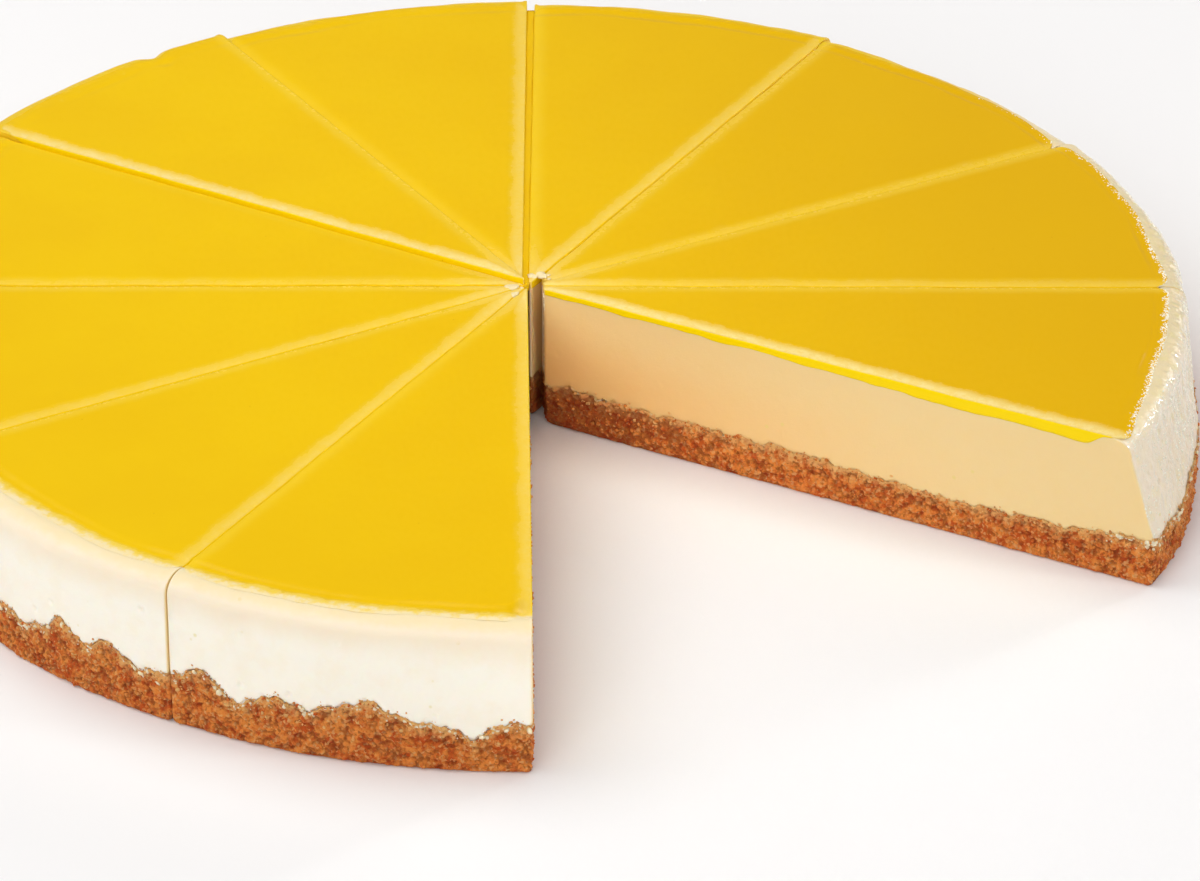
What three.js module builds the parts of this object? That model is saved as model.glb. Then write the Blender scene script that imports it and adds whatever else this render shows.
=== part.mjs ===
// A round lemon cheesecake cut in twelve, with two neighbouring slices gone and the other ten still
// standing as a round. Each slice is a biscuit crumb base, a baked filling and a lemon topping.
// Millimetres, +Z up. The cake's axis is on the origin and it stands on z = 0. Angles are degrees
// counted anticlockwise from +X, seen from above.
import * as THREE from "three";

const cakeHeight = 33.4;
const wallRadius = 140.5;
const toppingRadius = 135.5;
const toppingThickness = 2.6;
const layerGap = 0.3; // between a slice's own layers
const kerf = 0.4; // width of the knife's cut between two slices

const baseHeight = 9.2; // crumb thickness away from the wall
const wallRise = 1.8; // how much thicker the crumb is where it was pressed against the tin
const wallRiseWidth = 11;
const footRounding = 1.2;

const shoulderDrop = 3.8; // height over which the filling rounds into its wall
const lipHeight = 1.1; // how far the filling rises round the rim, where the topping runs thin
const lipWidth = 11;
const fillingCorner = 1.4;
const toppingCorner = 3.6;

// Reach is how far a slice stands out past the nominal wall, rise how far its top stands up, and
// tip the radius that its point is worn to.
const slices = [
  { from: 90.8, to: 121, reach: 1.2, rise: 0.4, tip: 0.3 },
  { from: 121, to: 149.6, reach: 2, rise: 1.3, tip: 0.3 },
  { from: 149.6, to: 180, reach: 0.4, rise: 0.2, tip: 0.3 },
  { from: 180, to: 210, reach: 0, rise: 0, tip: 0.3 },
  { from: 210, to: 240.1, reach: 0, rise: 0, tip: 0.3 },
  { from: 240.1, to: 271, reach: 0, rise: 0, tip: 0.3 },
  { from: 331.5, to: 359.7, reach: -0.3, rise: 0, tip: 1 },
  { from: -0.3, to: 29.2, reach: -0.4, rise: 0, tip: 1 },
  { from: 29.2, to: 60.6, reach: -1.2, rise: -0.5, tip: 1.6 },
  { from: 60.6, to: 90, reach: 0, rise: 0, tip: 0.5 },
];

// Where the crumb climbs or drops at the front wall: angle, height and half width in degrees.
const frontCrags = [
  { at: 224, height: -2, width: 1.4 },
  { at: 229, height: 3.4, width: 1.3 },
  { at: 234, height: 2, width: 1.2 },
  { at: 243, height: 2.8, width: 1.8 },
  { at: 246.4, height: -2, width: 1.5 },
  { at: 257.4, height: 3.4, width: 2.4 },
  { at: 266, height: -3.6, width: 1.4 },
];
const cragsFrom = 218; // the named crags stand between these two angles
const cragsTo = 272;

const rimDent = { at: 128.8, depth: 2, width: 1.1 }; // pressed into the second slice's rim

// The wall beside the gap has sagged: below one height it stands out by reach, above the other
// it stands as baked. The topping was dragged out with it over a narrower run.
const sag = { at: 330, reach: 7, width: 28, below: 12, above: 33 };
const toppingSag = { at: 331.5, reach: 3.5, width: 4 };

const crumbColour = 0xb98250;
const fillingColour = 0xf8efdc;
const toppingColour = 0xecbf12;

const radians = (degrees) => (degrees * Math.PI) / 180;
const bell = (distance, width) => Math.exp(-((distance / width) ** 2));

// Rises smoothly from 0 at one value to 1 at another.
function smoothRise(value, start, end) {
  const share = Math.min(1, Math.max(0, (value - start) / (end - start)));
  return share * share * (3 - 2 * share);
}

// Slow unevenness of the baked wall, in millimetres.
function wallSway(angle) {
  const turn = radians(angle);
  return 0.3 * Math.sin(5 * turn + 1) + 0.2 * Math.sin(13 * turn + 0.4);
}

// The topping set with a slightly wavy edge.
function toppingSway(angle) {
  const turn = radians(angle);
  return 0.35 * Math.sin(17 * turn + 2) + 0.25 * Math.sin(31 * turn + 0.7);
}

const dentDepth = (angle) => rimDent.depth * bell(angle - rimDent.at, rimDent.width);

// Shortest way in degrees from one angle to another.
const turnBetween = (from, to) => ((((to - from + 180) % 360) + 360) % 360) - 180;

// How far the sagging wall stands out at a height.
function sagReach(angle, height) {
  const upwards = THREE.MathUtils.clamp((height - sag.below) / (sag.above - sag.below), 0, 1);
  return sag.reach * bell(turnBetween(sag.at, angle), sag.width) * (1 - upwards);
}

// Height of the crags along the wall: the named ones at the front, a ragged run of waves elsewhere.
function cragHeight(angle) {
  const around = ((angle % 360) + 360) % 360;
  const turn = radians(around);
  const ragged =
    1.1 * Math.sin(19 * turn + 0.6) + 0.9 * Math.sin(43 * turn + 2.1) + 0.6 * Math.sin(71 * turn);
  const atFront =
    smoothRise(around, cragsFrom - 6, cragsFrom) * (1 - smoothRise(around, cragsTo, cragsTo + 6));
  const named = frontCrags.reduce(
    (sum, crag) => sum + crag.height * bell(around - crag.at, crag.width),
    0,
  );
  return ragged * (1 - 0.75 * atFront) + named;
}

// Height of the crumb layer's upper face at a point of the plan.
function crumbTop(x, y) {
  const radius = Math.hypot(x, y);
  const angle = THREE.MathUtils.radToDeg(Math.atan2(y, x));
  const rolling = 0.6 * Math.sin(x / 13 + 0.8) * Math.cos(y / 17) + 0.4 * Math.sin((x + y) / 9);
  const nearWall = smoothRise(radius, wallRadius - wallRiseWidth, wallRadius - 1);
  return baseHeight + rolling * (1 - nearWall) + nearWall * (wallRise + cragHeight(angle));
}

// Small relief of the crumb's outer face.
function crumbGrain(angle, height) {
  const turn = radians(angle);
  return 0.35 * Math.sin(67 * turn + height * 1.3) + 0.25 * Math.sin(101 * turn - height * 0.9);
}

// A point given along a cut line and square to it.
function beside(cutAngle, along, across) {
  const turn = radians(cutAngle);
  return new THREE.Vector2(
    along * Math.cos(turn) - across * Math.sin(turn),
    along * Math.sin(turn) + across * Math.cos(turn),
  );
}

// The outline of a slice seen from above, anticlockwise from its tip. The sides run parallel to
// the two cuts at the given inset, and rimAt gives the radius at an angle before the two outer
// corners are rounded. shape holds the corner's radius and how many points sides and rim get.
function outline(slice, inset, rimAt, shape) {
  const { corner, sideSteps, rimSteps } = shape;
  const middle = (slice.from + slice.to) / 2;
  const halfAngle = radians((slice.to - slice.from) / 2);
  const tipStart = (inset + slice.tip) / Math.tan(halfAngle);
  const tip = (inset + slice.tip) / Math.sin(halfAngle) - slice.tip;

  const startAngle = slice.from + THREE.MathUtils.radToDeg(Math.asin(inset / wallRadius));
  const endAngle = slice.to - THREE.MathUtils.radToDeg(Math.asin(inset / wallRadius));
  const sideEnd = (angle) => Math.sqrt((rimAt(angle) - corner) ** 2 - inset ** 2);
  const onSide = (cutAngle, across, end) =>
    Array.from({ length: sideSteps + 1 }, (_, step) =>
      beside(cutAngle, THREE.MathUtils.lerp(tipStart, end, step / sideSteps), across),
    );

  const cornerAngle = THREE.MathUtils.radToDeg(corner / wallRadius);
  const rimAngles = [startAngle + cornerAngle * 0.3];
  for (let step = 0; step <= rimSteps; step += 1) {
    rimAngles.push(
      THREE.MathUtils.lerp(startAngle + cornerAngle, endAngle - cornerAngle, step / rimSteps),
    );
  }
  rimAngles.push(endAngle - cornerAngle * 0.3);
  const rim = rimAngles.map((angle) => {
    const fromSide = radians(Math.min(angle - startAngle, endAngle - angle)) * wallRadius;
    const short = Math.max(0, corner - fromSide);
    const radius = rimAt(angle) - corner + Math.sqrt(corner ** 2 - short ** 2);
    return beside(angle, radius, 0);
  });

  return [
    beside(middle, tip, 0),
    ...onSide(slice.from, inset, sideEnd(startAngle)),
    ...rim,
    ...onSide(slice.to, -inset, sideEnd(endAngle)).reverse(),
  ];
}

// Gives an outline its height, which is a number or a function of the plan.
const lift = (points, height) =>
  points.map(
    (point) =>
      new THREE.Vector3(point.x, point.y, typeof height === "number" ? height : height(point)),
  );

function centreOf(ring) {
  const sum = ring.reduce((total, point) => total.add(point), new THREE.Vector3());
  return sum.divideScalar(ring.length);
}

// Joins rings of equal length, from the underside's middle over the side to the top's middle.
// Each four-sided patch is split along its shorter diagonal.
function solidFromRings(rings) {
  const positions = [];
  const indices = [];
  const count = rings[0].length;
  rings.flat().forEach((point) => positions.push(point.x, point.y, point.z));
  for (let level = 0; level + 1 < rings.length; level += 1) {
    for (let step = 0; step < count; step += 1) {
      const next = (step + 1) % count;
      const [lower, upper] = [level * count, (level + 1) * count];
      const rising = rings[level][step].distanceTo(rings[level + 1][next]);
      const falling = rings[level][next].distanceTo(rings[level + 1][step]);
      if (rising < falling) {
        indices.push(lower + step, lower + next, upper + next);
        indices.push(lower + step, upper + next, upper + step);
      } else {
        indices.push(lower + step, lower + next, upper + step);
        indices.push(lower + next, upper + next, upper + step);
      }
    }
  }
  const underside = centreOf(rings[0]);
  const top = centreOf(rings[rings.length - 1]);
  const undersideIndex = positions.length / 3;
  positions.push(underside.x, underside.y, underside.z, top.x, top.y, top.z);
  const topRing = (rings.length - 1) * count;
  for (let step = 0; step < count; step += 1) {
    const next = (step + 1) % count;
    indices.push(undersideIndex, next, step);
    indices.push(undersideIndex + 1, topRing + step, topRing + next);
  }
  const geometry = new THREE.BufferGeometry();
  geometry.setAttribute("position", new THREE.Float32BufferAttribute(positions, 3));
  geometry.setIndex(indices);
  geometry.computeVertexNormals();
  return geometry;
}

const layerShape = { corner: fillingCorner, sideSteps: 8, rimSteps: 24 };
const toppingShape = { corner: toppingCorner, sideSteps: 1, rimSteps: 10 };
const seamInset = 5; // how far in from the cuts the seam between the layers is led flat
const seamRimInset = 8;

const wallAt = (slice, drawnIn, height = 0) => (angle) =>
  wallRadius +
  slice.reach +
  wallSway(angle) +
  sagReach(angle, height) -
  dentDepth(angle) -
  drawnIn;

// Radius of the topping's edge before it is drawn in.
const toppingEdgeAt = (slice, angle) =>
  toppingRadius +
  slice.reach +
  toppingSway(angle) +
  toppingSag.reach * bell(turnBetween(toppingSag.at, angle), toppingSag.width) -
  dentDepth(angle);

// The two rings of the face where crumb and filling meet, outer one first.
function crumbSeam(slice, raised) {
  const height = (point) => crumbTop(point.x, point.y) + raised;
  return [
    lift(outline(slice, kerf / 2, wallAt(slice, 0), layerShape), height),
    lift(outline(slice, seamInset, wallAt(slice, seamRimInset), layerShape), height),
  ];
}

// Height of the topping's underside: level, and rising to the lip round the rim.
function toppingSeam(slice, point) {
  const lip = smoothRise(point.length(), toppingRadius - lipWidth, toppingRadius);
  return cakeHeight + slice.rise - toppingThickness + lipHeight * lip;
}

function crumbBase(slice) {
  const wallRing = (height, drawnIn) => {
    const rim = (angle) => wallAt(slice, drawnIn)(angle) + crumbGrain(angle, height);
    return lift(outline(slice, kerf / 2, rim, layerShape), height);
  };
  return solidFromRings([
    wallRing(0, footRounding * 0.7),
    wallRing(footRounding, 0),
    wallRing(baseHeight * 0.6, 0),
    ...crumbSeam(slice, 0),
  ]);
}

function filling(slice) {
  const height = (point) => toppingSeam(slice, point) - layerGap;
  const shoulderFoot = cakeHeight + slice.rise - toppingThickness + lipHeight - shoulderDrop;
  // How high each ring lies between the shoulder's foot and its top, and how far it is drawn in.
  const shoulder = [
    { share: 0, drawnIn: 0 },
    { share: 0.5, drawnIn: 0.5 },
    { share: 0.84, drawnIn: 1.7 },
    { share: 1, drawnIn: 3.8 },
  ];
  const shoulderRings = shoulder.map(({ share, drawnIn }) => {
    const rim = wallAt(slice, drawnIn, shoulderFoot + share * shoulderDrop);
    return lift(outline(slice, kerf / 2, rim, layerShape), (point) =>
      THREE.MathUtils.lerp(shoulderFoot, height(point), share),
    );
  });
  const flatRim = wallAt(slice, lipWidth + 5, cakeHeight);
  const underTopping = outline(slice, seamInset, flatRim, layerShape);
  return solidFromRings([
    ...crumbSeam(slice, layerGap).reverse(),
    ...shoulderRings,
    lift(underTopping, height),
  ]);
}

function topping(slice) {
  const top = cakeHeight + slice.rise;
  // From the underside up: share of the thickness, inset at the cuts, drawn in at the rim.
  const edge = [
    { share: 0, inset: 0, drawnIn: 0 },
    { share: 0.69, inset: 0, drawnIn: 0.9 },
    { share: 0.93, inset: 1.2, drawnIn: 2.6 },
    { share: 1, inset: 3.2, drawnIn: 5 },
  ];
  const ringAt = (inset, drawnIn, height) => {
    const rim = (angle) => toppingEdgeAt(slice, angle) - drawnIn;
    return lift(outline(slice, kerf / 2 + inset, rim, toppingShape), height);
  };
  const edgeRings = edge.map(({ share, inset, drawnIn }) =>
    ringAt(inset, drawnIn, (point) =>
      THREE.MathUtils.lerp(toppingSeam(slice, point), top, share),
    ),
  );
  const underside = ringAt(seamInset, lipWidth, (point) => toppingSeam(slice, point));
  return solidFromRings([underside, ...edgeRings]);
}

const layers = [
  { name: "base", make: crumbBase, colour: crumbColour, roughness: 0.9 },
  { name: "filling", make: filling, colour: fillingColour, roughness: 0.45 },
  { name: "topping", make: topping, colour: toppingColour, roughness: 0.12 },
];

const cheesecake = new THREE.Group();
slices.forEach((slice, index) => {
  const number = String(index + 1).padStart(2, "0");
  const wedge = new THREE.Group();
  layers.forEach(({ name, make, colour, roughness }) => {
    const material = new THREE.MeshStandardMaterial({ color: colour, roughness, metalness: 0 });
    const layer = new THREE.Mesh(make(slice), material);
    layer.name = `slice_${number}_${name}`;
    wedge.add(layer);
  });
  cheesecake.add(wedge);
});

export default cheesecake;
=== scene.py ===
import bpy
import numpy as np
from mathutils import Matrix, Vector


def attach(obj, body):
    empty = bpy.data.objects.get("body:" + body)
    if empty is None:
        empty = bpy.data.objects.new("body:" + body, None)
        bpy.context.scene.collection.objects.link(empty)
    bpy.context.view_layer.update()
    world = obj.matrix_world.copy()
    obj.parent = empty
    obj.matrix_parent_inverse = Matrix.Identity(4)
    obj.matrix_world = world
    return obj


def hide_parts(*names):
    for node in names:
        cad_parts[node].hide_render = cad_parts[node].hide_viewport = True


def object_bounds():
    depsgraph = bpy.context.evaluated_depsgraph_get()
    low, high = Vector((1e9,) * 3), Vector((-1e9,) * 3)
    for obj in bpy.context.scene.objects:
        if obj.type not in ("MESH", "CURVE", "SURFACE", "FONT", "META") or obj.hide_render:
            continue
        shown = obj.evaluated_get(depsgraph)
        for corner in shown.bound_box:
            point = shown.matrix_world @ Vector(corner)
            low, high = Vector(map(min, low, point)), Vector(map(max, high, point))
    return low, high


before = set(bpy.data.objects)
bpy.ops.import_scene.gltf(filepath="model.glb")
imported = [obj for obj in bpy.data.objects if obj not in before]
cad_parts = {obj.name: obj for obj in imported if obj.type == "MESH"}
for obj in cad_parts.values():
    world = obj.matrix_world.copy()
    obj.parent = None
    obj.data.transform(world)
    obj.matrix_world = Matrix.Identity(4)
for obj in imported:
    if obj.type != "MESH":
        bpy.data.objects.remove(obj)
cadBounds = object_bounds()
mm = 0.001  # metres in a millimetre

cake = {
    "height": 33.4,
    "wallRadius": 140.5,
    "toppingRadius": 135.5,
    "toppingThickness": 2.6,
    "kerf": 0.2,  # width of the knife's cut
    "baseHeight": 9.2,
    "wallRise": 1.8,  # the crumb stands higher where it was pressed against the tin
    "wallRiseWidth": 11,
    "lipHeight": 2.3,  # the filling rises round the rim, where the topping runs thin
    "lipWidth": 6.5,
    "heart": 88,  # radius of the point in a slice that its hidden rings draw in to
}

# A slice's two cut angles, how far it stands out and up, the radius of its tip, which cut side
# lies bare, how far its first side is set back from the cut, and how much cream the knife
# dragged over its two top edges. What a slice doesn't name is as in usual.
usual = {"reach": 0, "rise": 0, "tip": 0.3, "open": "", "shy": 0}
slices = [{**usual, **own} for own in (
    {"from": 90.2, "to": 121, "reach": 1.2, "rise": 0.4, "shy": 1.1, "smear": (0.35, 0.05)},
    {"from": 121, "to": 149.6, "reach": 2, "rise": 1.3, "smear": (0.1, 0.85)},
    {"from": 149.6, "to": 180, "reach": 0.4, "rise": 0.2, "smear": (0.05, 0.15)},
    {"from": 180, "to": 210, "smear": (0.1, 0.25)},
    {"from": 210, "to": 240.1, "smear": (0.1, 0.3)},
    {"from": 240.1, "to": 271, "open": "to", "smear": (0.05, 0.3)},
    {"from": 331.5, "to": 359.7, "reach": -0.3, "tip": 1, "open": "from", "smear": (1, 0.1)},
    {"from": -0.3, "to": 29.2, "reach": -0.4, "tip": 1, "smear": (0.2, 0.1)},
    {"from": 29.2, "to": 60.6, "reach": -1.2, "rise": -0.25, "tip": 1.6, "smear": (0.15, 0.15)},
    {"from": 60.6, "to": 90, "tip": 0.5, "smear": (0.3, 0.05)},
)]

# where the crumb climbs or drops at the front wall: angle, height and half width in degrees
frontCrags = [(224, -2, 1.4), (229, 3.4, 1.3), (234, 2, 1.2), (243, 2.8, 1.8),
              (246.4, -2, 1.5), (257.4, 3.4, 2.4), (266, -3.6, 1.4)]
rimDent = {"at": 128.8, "depth": 2, "width": 1.1}
sag = {"at": 330, "reach": 7, "width": 28, "aloft": 0.14}  # the wall that leans out by the gap
toppingSag = {"at": 331.5, "reach": 3.5, "width": 4}
shoulder = {"width": 4.4, "drop": 3.8, "squareness": 2.2}  # squareness 2 gives an ellipse
bevel = {"at": 271, "reach": 5, "width": 2.4}  # the topping stops short of one bare corner
wetSide = {"wall": (358, 38), "rim": (352, 26)}  # angle and half width of the side that glints
# angle where curd ran over the shoulder, and how far from it that is so in full and not at all
runOver = {"wall": (105, 53, 78), "rim": (68, 92, 125)}
# slow waves and ragged ones round the circle: count, height and phase of each sine
wallWaves = ((5, 0.3, 1), (13, 0.2, 0.4))
toppingWaves = ((17, 0.35, 2), (31, 0.25, 0.7))
crumbWaves = ((19, 1.1, 0.6), (43, 0.9, 2.1), (71, 0.6, 0))
# soft noise on the crumb's top and on the underside of the topping: size, height, seed
crumbCrags = ((3, 0.5, 11), (1.5, 0.55, 12), (0.8, 0.3, 13))
seamWaves = ((8, 0.2, 21), (2.6, 0.12, 22))

# large odd numbers that spread neighbouring places over all values
scramble = {"place": (374761393, 668265263, 1440662683), "seed": 974634777, "last": 1274126177}


def hashAt(i, j, k, seed):
    # A repeatable number from 0 to 1 for a whole-numbered place: multiply, mix the bits, scale.
    mask = 0xFFFFFFFF
    a, b, c = scramble["place"]
    mixed = (i * a + j * b + k * c + seed * scramble["seed"]) & mask
    mixed = ((mixed ^ (mixed >> 13)) * scramble["last"]) & mask
    return ((mixed ^ (mixed >> 16)) & mask) / mask


def softNoise(points, size, seed):
    # From -1 to 1: hashes at the eight corners of a cell, blended by 3t squared minus 2t cubed.
    place = points / size
    cell = np.floor(place).astype(np.int64)
    t = place - cell
    t = t * t * (3 - 2 * t)
    total = 0
    for corner in np.ndindex(2, 2, 2):
        share = np.prod(np.where(corner, t, 1 - t), axis=-1)
        total = total + share * hashAt(*np.moveaxis(cell + corner, -1, 0), seed)
    return 2 * total - 1


def noises(points, layers):
    # Soft noises added up, each with its size, height and seed.
    return sum(height * softNoise(points, size, seed) for size, height, seed in layers)


def waves(turn, sines):
    # Sines round the circle added up, each with its count, height and phase.
    return sum(height * np.sin(count * turn + phase) for count, height, phase in sines)


def grainNoise(points, size, seed):
    # Distance to the nearest of one scattered point per cell, in cells, and that point's number.
    place = points / size
    cell = np.floor(place).astype(np.int64)
    nearest = np.full(place.shape[:-1], 9.0)
    own = np.zeros_like(nearest)
    for offset in np.ndindex(3, 3, 3):
        corner = cell + (np.array(offset) - 1)
        i, j, k = np.moveaxis(corner, -1, 0)
        centre = corner + np.stack([hashAt(i, j, k, seed + n) for n in range(3)], -1)
        distance = np.linalg.norm(place - centre, axis=-1)
        closer = distance < nearest
        nearest = np.where(closer, distance, nearest)
        own = np.where(closer, hashAt(i, j, k, seed + 3), own)
    return nearest, own


def smoothRise(value, start, end):
    # From 0 at start to 1 at end along 3t squared minus 2t cubed.
    t = np.clip((value - start) / (end - start), 0, 1)
    return t * t * (3 - 2 * t)


def bell(distance, width):
    # One at no distance, falling as e to minus the square of distance over width.
    return np.exp(-((distance / width) ** 2))


def turnFrom(turn, at):
    # Shortest way in degrees from one angle in degrees to another in radians.
    return (np.degrees(turn) - at + 180) % 360 - 180


def around(turn, at, full, none):
    # One within full degrees of an angle, easing to 0 at none degrees from it.
    return smoothRise(np.abs(turnFrom(turn, at)), none, full)


def wetAt(turn, where):
    # One in the middle of the wet side and less away from it, on the wall or at the rim.
    at, width = wetSide[where]
    return bell(turnFrom(turn, at), width)


def wallRadiusAt(cut, turn, leaning):
    # Radius of a slice's wall: slow waves round the nominal one, less the dent, plus its share
    # of the lean.
    lean = sag["reach"] * bell(turnFrom(turn, sag["at"]), sag["width"]) * leaning
    return cake["wallRadius"] + cut["reach"] + waves(turn, wallWaves) + lean - dentAt(turn)


def toppingRadiusAt(cut, turn):
    # Radius of the topping's edge: slow waves, a slightly ragged edge, and where it was dragged
    # out or stops short at the gap.
    sway = waves(turn, toppingWaves)
    ragged = 0.12 * np.sin(97 * turn) * np.sin(41 * turn + 1)
    dragged = toppingSag["reach"] * bell(turnFrom(turn, toppingSag["at"]), toppingSag["width"])
    short = bevel["reach"] * smoothRise(turnFrom(turn, bevel["at"]), -bevel["width"], 0)
    short *= cut["open"] == "to"
    return cake["toppingRadius"] + cut["reach"] + 1.1 + sway + ragged + dragged - short - dentAt(turn)


def dentAt(turn):
    # Depth of the dent pressed into one slice's rim.
    return rimDent["depth"] * bell(turnFrom(turn, rimDent["at"]), rimDent["width"])


def inPlan(x, y):
    # Points on the floor below.
    return np.stack([x, y, np.zeros_like(x)], -1)


def crumbTop(x, y):
    # Height of the crumb: rolling inside, and near the wall higher with crags; all of it ragged.
    turn = np.arctan2(y, x)
    degrees = np.degrees(turn) % 360
    atFront = smoothRise(degrees, 212, 218) * (1 - smoothRise(degrees, 272, 278))
    named = sum(high * bell(degrees - at, width) for at, high, width in frontCrags)
    crags = waves(turn, crumbWaves) * (1 - 0.75 * atFront) + named
    rolling = 0.6 * np.sin(x / 13 + 0.8) * np.cos(y / 17) + 0.4 * np.sin((x + y) / 9)
    radius = cake["wallRadius"]
    nearWall = smoothRise(np.hypot(x, y), radius - cake["wallRiseWidth"], radius - 1)
    fine = noises(inPlan(x, y), crumbCrags)
    return cake["baseHeight"] + rolling * (1 - nearWall) + nearWall * (cake["wallRise"] + crags) + fine


def lipShare(turn):
    # Share of the lip's width: half of it on the right.
    return 1 - 0.5 * bell(turnFrom(turn, 10), 50)


def shoulderFall(inwards):
    # How far the quarter superellipse of the shoulder has fallen at a distance in from the wall.
    across = np.clip(1 - inwards / shoulder["width"], 0, 1)
    power = shoulder["squareness"]
    return shoulder["drop"] * (1 - (1 - across**power) ** (1 / power))


def toppingSeam(cut, x, y, inwards=None):
    # Height where filling and topping meet: level and slightly uneven, higher towards the tip,
    # lower at the outer part of a bare side, with a lip round the rim that is narrower on the
    # right, and past it the fall of the shoulder.
    turn, radius = np.arctan2(y, x), np.hypot(x, y)
    rim = cake["toppingRadius"] + min(cut["reach"], 0)
    lip = cake["lipHeight"] * smoothRise(radius, rim - cake["lipWidth"] * lipShare(turn), rim)
    plan = inPlan(x, y)
    uneven = noises(plan, seamWaves)
    uneven *= 1 - 0.6 * smoothRise(radius, rim - cake["lipWidth"], rim)
    nearTip = 1 - smoothRise(radius, 30, 105)
    distance, _, bare = cutDistance(cut, x, y)
    dip = 0.5 * (1 + 0.7 * softNoise(plan, 7, 23)) - 0.8 * nearTip
    uneven += 0.45 * nearTip - dip * bare * bell(distance, 4)
    level = cake["height"] + cut["rise"] - cake["toppingThickness"] + lip + uneven
    if inwards is None:
        inwards = wallRadiusAt(cut, turn, sag["aloft"]) - radius
    return level - shoulderFall(inwards)


def outline(cut, inset, rimAt, corner, counts):
    # Plan of a slice, anticlockwise from its tip, one row for each inset: an arc round the tip,
    # two sides parallel to the cuts, arcs at the outer corners and the rim between them.
    start, end = np.radians(cut["from"]), np.radians(cut["to"])
    middle, quarter, worn = (start + end) / 2, np.pi / 2, cut["tip"]
    lastGap = cake["kerf"] / 2 + inset
    firstGap = lastGap + cut["shy"]

    def along(first, last, count, bare):
        # Steps from first to last, even on a bare side and closer at both ends on a hidden one.
        step = np.linspace(0, 1, count + 1)
        return first + (last - first) * (step if bare else smoothRise(step, 0, 1))

    def arc(centreX, centreY, radius, first, last, count):
        # Points on a circle at even steps of angle.
        sweep = first + (last - first) * np.linspace(0, 1, count + 1)
        return centreX + radius * np.cos(sweep), centreY + radius * np.sin(sweep)

    def corners(side, sign, gap):
        # Where the corner's circle touches the rim and the side: its angle and centre, and how
        # far out along the side it starts.
        turn = side + sign * np.arcsin((gap + corner) / (cake["wallRadius"] - corner))
        centre = rimAt(turn) - corner
        turn = side + sign * np.arcsin((gap + corner) / centre)
        reach = np.sqrt(centre**2 - (gap + corner) ** 2)
        return turn, centre * np.cos(turn), centre * np.sin(turn), reach

    def onSide(side, sign, gap, distance):
        # Points at a distance along a cut and a gap away from it.
        return (distance * np.cos(side) - sign * gap * np.sin(side),
                distance * np.sin(side) + sign * gap * np.cos(side))

    firstTurn, firstX, firstY, firstReach = corners(start, 1, firstGap)
    lastTurn, lastX, lastY, lastReach = corners(end, -1, lastGap)
    inwards = np.array([[-np.sin(start), np.cos(start)], [np.sin(end), -np.cos(end)]])
    tipX, tipY = np.linalg.solve(inwards, np.hstack([firstGap, lastGap]).T + worn)[:, :, None]
    firstTip = tipX * np.cos(start) + tipY * np.sin(start)
    lastTip = tipX * np.cos(end) + tipY * np.sin(end)
    rimTurn = firstTurn + (lastTurn - firstTurn) * np.linspace(0, 1, counts["rim"] + 1)
    rimRadius = rimAt(rimTurn)
    openFirst, openLast = cut["open"] == "from", cut["open"] == "to"
    firstSide = along(firstTip, firstReach, counts["bare" if openFirst else "side"], openFirst)
    lastSide = along(lastReach, lastTip, counts["bare" if openLast else "side"], openLast)
    turnToTip = middle + np.pi
    runs = [
        arc(tipX, tipY, worn, turnToTip, start + 3 * quarter, counts["tip"]),
        onSide(start, 1, firstGap, firstSide),
        arc(firstX, firstY, corner, start - quarter, firstTurn, counts["corner"]),
        (rimRadius * np.cos(rimTurn), rimRadius * np.sin(rimTurn)),
        arc(lastX, lastY, corner, lastTurn, end + quarter, counts["corner"]),
        onSide(end, -1, lastGap, lastSide),
        arc(tipX, tipY, worn, end + quarter, turnToTip, counts["tip"]),
    ]
    x, y = (np.concatenate([run[axis][:, :-1] for run in runs], axis=1) for axis in (0, 1))
    return x, y


def cutDistance(cut, x, y):
    # Distance in from the nearer cut side, and whether that is the first one and lies bare.
    start, end = np.radians(cut["from"]), np.radians(cut["to"])
    first = y * np.cos(start) - x * np.sin(start) - cake["kerf"] / 2 - cut["shy"]
    last = x * np.sin(end) - y * np.cos(end) - cake["kerf"] / 2
    atFirst = first < last
    bare = np.where(atFirst, cut["open"] == "from", cut["open"] == "to")
    return np.minimum(first, last), atFirst, bare


def shrunk(cut, x, y, shares):
    # Draws rows in towards a point on the slice's middle line, each by its own share.
    middle = np.radians((cut["from"] + cut["to"]) / 2)
    centreX, centreY = cake["heart"] * np.cos(middle), cake["heart"] * np.sin(middle)
    return centreX + (x - centreX) * shares, centreY + (y - centreY) * shares


def rowNormals(rows):
    # Outward direction at each grid point: the step along a row crossed with the step up.
    sideways = np.roll(rows, -1, axis=1) - np.roll(rows, 1, axis=1)
    upwards = np.gradient(rows, axis=0)
    normal = np.cross(sideways, upwards)
    return normal / np.maximum(np.linalg.norm(normal, axis=-1, keepdims=True), 1e-9)


def makeMesh(name, points, faces, values, material):
    # Puts points in millimetres and triangles into a mesh in metres, with a number per point.
    mesh = bpy.data.meshes.new(name)
    mesh.vertices.add(len(points))
    mesh.vertices.foreach_set("co", (points * mm).astype(np.float32).ravel())
    mesh.loops.add(faces.size)
    mesh.loops.foreach_set("vertex_index", faces.astype(np.int32).ravel())
    mesh.polygons.add(len(faces))
    mesh.polygons.foreach_set("loop_start", np.arange(0, faces.size, 3, dtype=np.int32))
    mesh.update(calc_edges=True)
    mesh.validate()
    mesh.shade_smooth()
    for key, numbers in values.items():
        layer = mesh.attributes.new(key, "FLOAT", "POINT")
        layer.data.foreach_set("value", numbers.astype(np.float32).ravel())
    mesh.materials.append(material)
    piece = bpy.data.objects.new(name, mesh)
    bpy.context.collection.objects.link(piece)
    return piece


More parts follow.
